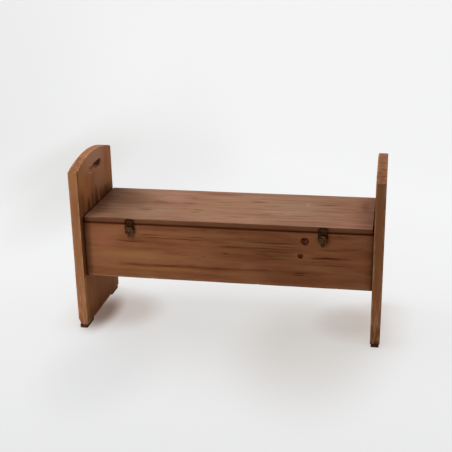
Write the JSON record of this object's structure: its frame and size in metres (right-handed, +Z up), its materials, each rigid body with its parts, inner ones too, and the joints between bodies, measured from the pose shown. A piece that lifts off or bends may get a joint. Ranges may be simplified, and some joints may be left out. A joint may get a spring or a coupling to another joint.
{
  "type": "storage bench",
  "caption": "Pine chest bench with arched plank ends, hand-hold slots, a lift-up lid over a storage box, and draw latches at the front.",
  "frame": {"origin": "on the floor, under the middle of the bench", "axes": "+X along the bench to the right as seen from the front, +Y to the back, +Z up"},
  "size_m": [1.125, 0.4, 0.6439],
  "materials": {
    "end_pine": "stained pine, waxed",
    "board_pine": "stained pine, waxed",
    "lid_pine": "stained pine, waxed",
    "inner_pine": "planed pine, oiled",
    "dowel_beech": "turned beech",
    "pad_rubber": "moulded, matt",
    "latch_bronze": "antiqued, dark",
    "latch_wire": "antiqued, dark",
    "hinge_brass": "antiqued",
    "screw_steel": "zinc plated"
  },
  "bodies": {
    "carcass": {"left_end_panel": "end_pine", "right_end_panel": "end_pine", "front_board": "board_pine", "back_board": "board_pine", "front_board_dowels": "dowel_beech", "back_board_dowels": "dowel_beech", "front_cleat": "inner_pine", "back_cleat": "inner_pine", "cleat_screws": "screw_steel", "bottom_board": "inner_pine", "bottom_screws": "screw_steel", "foot_pad_front_left": "pad_rubber", "foot_pad_front_right": "pad_rubber", "foot_pad_back_left": "pad_rubber", "foot_pad_back_right": "pad_rubber", "foot_pad_nails": "screw_steel", "left_hinge_fixed_leaf": "hinge_brass", "left_hinge_pin": "hinge_brass", "right_hinge_fixed_leaf": "hinge_brass", "right_hinge_pin": "hinge_brass", "hinge_board_screws": "hinge_brass", "left_latch_base": "latch_bronze", "left_latch_lever_pin": "latch_wire", "right_latch_base": "latch_bronze", "right_latch_lever_pin": "latch_wire", "latch_base_screws": "latch_wire"},
    "lid": {"lid_board": "lid_pine", "left_lid_batten": "inner_pine", "right_lid_batten": "inner_pine", "lid_batten_screws": "screw_steel", "left_hinge_moving_leaf": "hinge_brass", "right_hinge_moving_leaf": "hinge_brass", "hinge_lid_screws": "hinge_brass", "left_latch_catch": "latch_bronze", "right_latch_catch": "latch_bronze", "latch_catch_screws": "latch_wire"},
    "left_lever": {"left_latch_lever": "latch_bronze"},
    "left_loop": {"left_latch_loop": "latch_wire"},
    "right_lever": {"right_latch_lever": "latch_bronze"},
    "right_loop": {"right_latch_loop": "latch_wire"}
  },
  "joints": [
    {"name": "lid_hinge", "type": "hinge", "parent": "carcass", "child": "lid", "pos_m": [0, 0.1965, 0.41775], "axis": [-1, 0, 0], "range_deg": [0, 100]},
    {"name": "left_lever_hinge", "type": "hinge", "parent": "carcass", "child": "left_lever", "pos_m": [-0.351, -0.1732, 0.405], "axis": [-1, 0, 0], "range_deg": [0, 110]},
    {"name": "left_loop_hinge", "type": "hinge", "parent": "left_lever", "child": "left_loop", "pos_m": [-0.351, -0.1732, 0.396], "axis": [1, 0, 0], "range_deg": [0, 110]},
    {"name": "right_lever_hinge", "type": "hinge", "parent": "carcass", "child": "right_lever", "pos_m": [0.351, -0.1732, 0.405], "axis": [-1, 0, 0], "range_deg": [0, 110]},
    {"name": "right_loop_hinge", "type": "hinge", "parent": "right_lever", "child": "right_loop", "pos_m": [0.351, -0.1732, 0.396], "axis": [1, 0, 0], "range_deg": [0, 110]}
  ],
  "couplings": [
    {"joint": "left_loop_hinge", "follows": "left_lever_hinge", "ratio": 1},
    {"joint": "right_loop_hinge", "follows": "right_lever_hinge", "ratio": 1}
  ]
}
